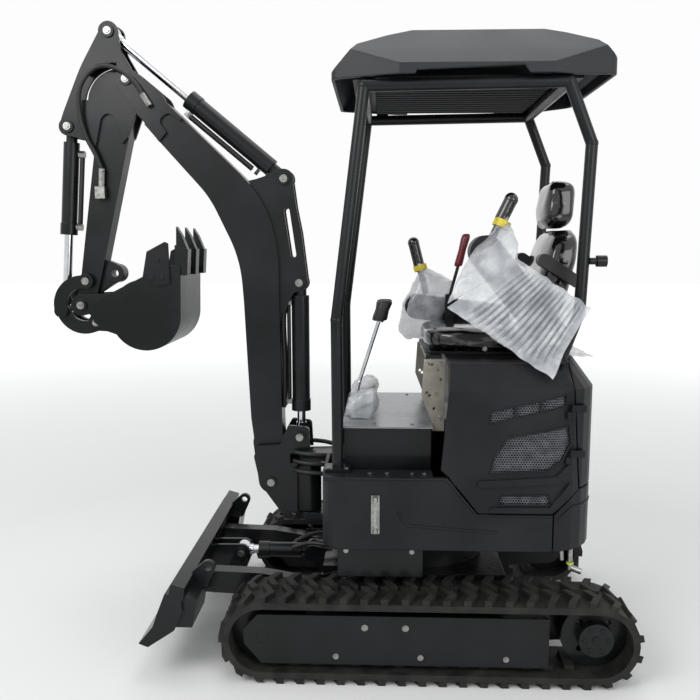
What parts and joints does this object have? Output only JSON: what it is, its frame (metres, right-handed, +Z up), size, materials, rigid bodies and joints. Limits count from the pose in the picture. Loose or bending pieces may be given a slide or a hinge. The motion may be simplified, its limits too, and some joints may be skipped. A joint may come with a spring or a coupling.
{
  "type": "mini excavator",
  "caption": "Tracked mini excavator with an open canopy, swing boom, arm, toothed digging bucket and dozer blade, its boom raised and parked.",
  "frame": {"origin": "on the ground, in the middle of the box round the whole machine as it is parked", "axes": "+X to the machine's rear, +Y to its right-hand side, +Z up"},
  "size_m": [2.2479, 1.1, 2.41],
  "materials": {
    "gloss_black_paint": "gloss",
    "moulded_plastic": "satin",
    "roof_plastic": "satin",
    "cast_iron": "painted satin",
    "track_rubber": "matte",
    "chrome_steel": "polished",
    "zinc_steel": "zinc plated",
    "floor_steel": "worn",
    "seat_vinyl": "semi-gloss",
    "clear_film": "clear wrinkled film"
  },
  "bodies": {
    "undercarriage": {"car_body": "gloss_black_paint", "track_frame_left": "gloss_black_paint", "track_frame_right": "gloss_black_paint", "track_left": "track_rubber", "track_right": "track_rubber", "sprockets": "gloss_black_paint", "idlers": "gloss_black_paint", "rollers": "gloss_black_paint"},
    "house": {"house_frame": "gloss_black_paint", "swing_bracket": "gloss_black_paint", "grilles": "gloss_black_paint", "skirt_left": "moulded_plastic", "skirt_right": "moulded_plastic", "hood_left": "moulded_plastic", "hood_right": "moulded_plastic", "hood_top": "moulded_plastic", "counterweight": "cast_iron", "engine_block": "cast_iron", "floor_box": "gloss_black_paint", "floor_plate": "floor_steel", "seat_pedestal": "zinc_steel", "seat_base": "gloss_black_paint", "seat_cushion": "seat_vinyl", "seat_back": "seat_vinyl", "headrest": "seat_vinyl", "armrests": "seat_vinyl", "console_left": "moulded_plastic", "console_right": "moulded_plastic", "joysticks": "seat_vinyl", "travel_levers": "chrome_steel", "pedals": "zinc_steel", "blade_lever": "gloss_black_paint", "console_bag_left": "clear_film", "console_bag_right": "clear_film", "oil_gauge": "zinc_steel", "canopy_posts": "gloss_black_paint", "canopy_roof": "roof_plastic", "canopy_liner": "moulded_plastic", "rear_lamp": "gloss_black_paint"},
    "rear_hood": {"rear_hood": "moulded_plastic"},
    "blade": {"blade": "gloss_black_paint"},
    "blade_barrel": {"blade_barrel": "gloss_black_paint"},
    "blade_rod": {"blade_rod": "chrome_steel"},
    "swing_post": {"swing_post": "gloss_black_paint"},
    "boom": {"boom": "gloss_black_paint"},
    "boom_barrel": {"boom_barrel": "gloss_black_paint"},
    "boom_rod": {"boom_rod": "chrome_steel"},
    "arm": {"arm": "gloss_black_paint"},
    "arm_barrel": {"arm_barrel": "gloss_black_paint"},
    "arm_rod": {"arm_rod": "chrome_steel"},
    "bucket": {"bucket": "gloss_black_paint", "bucket_teeth": "gloss_black_paint"},
    "bucket_barrel": {"bucket_barrel": "gloss_black_paint"},
    "bucket_rod": {"bucket_rod": "chrome_steel"},
    "guide_links": {"guide_links": "gloss_black_paint"},
    "bucket_link": {"bucket_link": "gloss_black_paint"}
  },
  "joints": [
    {"name": "slew", "type": "hinge", "parent": "undercarriage", "child": "house", "pos_m": [0.369, 0, 0.488], "axis": [0, 0, 1], "continuous": true},
    {"name": "boom_swing", "type": "hinge", "parent": "house", "child": "swing_post", "pos_m": [-0.101, 0, 0.58], "axis": [0, 0, 1], "range_deg": [-50, 70]},
    {"name": "boom_lift", "type": "hinge", "parent": "swing_post", "child": "boom", "pos_m": [-0.25, 0, 0.6], "axis": [0, -1, 0], "range_deg": [0, 85]},
    {"name": "boom_cylinder_turn", "type": "hinge", "parent": "boom", "child": "boom_barrel", "pos_m": [-0.133, 0, 1.407], "axis": [0, -1, 0], "range_deg": [-1, 8]},
    {"name": "boom_cylinder_stroke", "type": "slide", "parent": "boom_barrel", "child": "boom_rod", "axis": [0.0016, 0, -1], "range_m": [-0.005, 0.275]},
    {"name": "arm_crowd", "type": "hinge", "parent": "boom", "child": "arm", "pos_m": [-0.794, 0, 2.19], "axis": [0, 1, 0], "range_deg": [0, 87]},
    {"name": "arm_cylinder_turn", "type": "hinge", "parent": "boom", "child": "arm_barrel", "pos_m": [-0.191, 0, 1.814], "axis": [0, 1, 0], "range_deg": [-1, 10]},
    {"name": "arm_cylinder_stroke", "type": "slide", "parent": "arm_barrel", "child": "arm_rod", "axis": [-0.7693, 0, 0.6388], "range_m": [-0.26, 0.005]},
    {"name": "bucket_curl", "type": "hinge", "parent": "arm", "child": "bucket", "pos_m": [-1.001, 0, 1.318], "axis": [0, 1, 0], "range_deg": [0, 170]},
    {"name": "bucket_guide_turn", "type": "hinge", "parent": "arm", "child": "guide_links", "pos_m": [-0.987, 0, 1.413], "axis": [0, 1, 0], "range_deg": [-1, 97]},
    {"name": "bucket_link_turn", "type": "hinge", "parent": "bucket", "child": "bucket_link", "pos_m": [-0.941, 0, 1.25], "axis": [0, 1, 0], "range_deg": [-105, 1]},
    {"name": "bucket_cylinder_turn", "type": "hinge", "parent": "arm", "child": "bucket_barrel", "pos_m": [-1.036, 0, 2.016], "axis": [0, 1, 0], "range_deg": [-1, 3]},
    {"name": "bucket_cylinder_stroke", "type": "slide", "parent": "bucket_barrel", "child": "bucket_rod", "axis": [-0.0773, 0, -0.997], "range_m": [-0.24, 0.005]},
    {"name": "blade_lift", "type": "hinge", "parent": "undercarriage", "child": "blade", "pos_m": [-0.061, 0, 0.215], "axis": [0, -1, 0], "range_deg": [-10, 30]},
    {"name": "blade_cylinder_turn", "type": "hinge", "parent": "undercarriage", "child": "blade_barrel", "pos_m": [-0.086, 0, 0.285], "axis": [0, -1, 0], "range_deg": [-11, 31.5]},
    {"name": "blade_cylinder_stroke", "type": "slide", "parent": "blade_barrel", "child": "blade_rod", "axis": [-1, 0, 0], "range_m": [-0.015, 0.04]},
    {"name": "rear_hood_open", "type": "hinge", "parent": "house", "child": "rear_hood", "pos_m": [0.8575, -0.484, 1], "axis": [0, 0, -1], "range_deg": [0, 80]}
  ],
  "couplings": [
    {"joint": "boom_cylinder_turn", "follows": "boom_lift", "ratio": 0.08894},
    {"joint": "boom_cylinder_stroke", "follows": "boom_lift", "m_per_rad": 0.18117},
    {"joint": "arm_cylinder_turn", "follows": "arm_crowd", "ratio": 0.11122},
    {"joint": "arm_cylinder_stroke", "follows": "arm_crowd", "m_per_rad": -0.15726},
    {"joint": "bucket_guide_turn", "follows": "bucket_curl", "ratio": 0.566},
    {"joint": "bucket_link_turn", "follows": "bucket_curl", "ratio": -0.61347},
    {"joint": "bucket_cylinder_turn", "follows": "bucket_curl", "ratio": 0.01391},
    {"joint": "bucket_cylinder_stroke", "follows": "bucket_curl", "m_per_rad": -0.0792},
    {"joint": "blade_cylinder_turn", "follows": "blade_lift", "ratio": 1.03},
    {"joint": "blade_cylinder_stroke", "follows": "blade_lift", "m_per_rad": 0.0725}
  ]
}
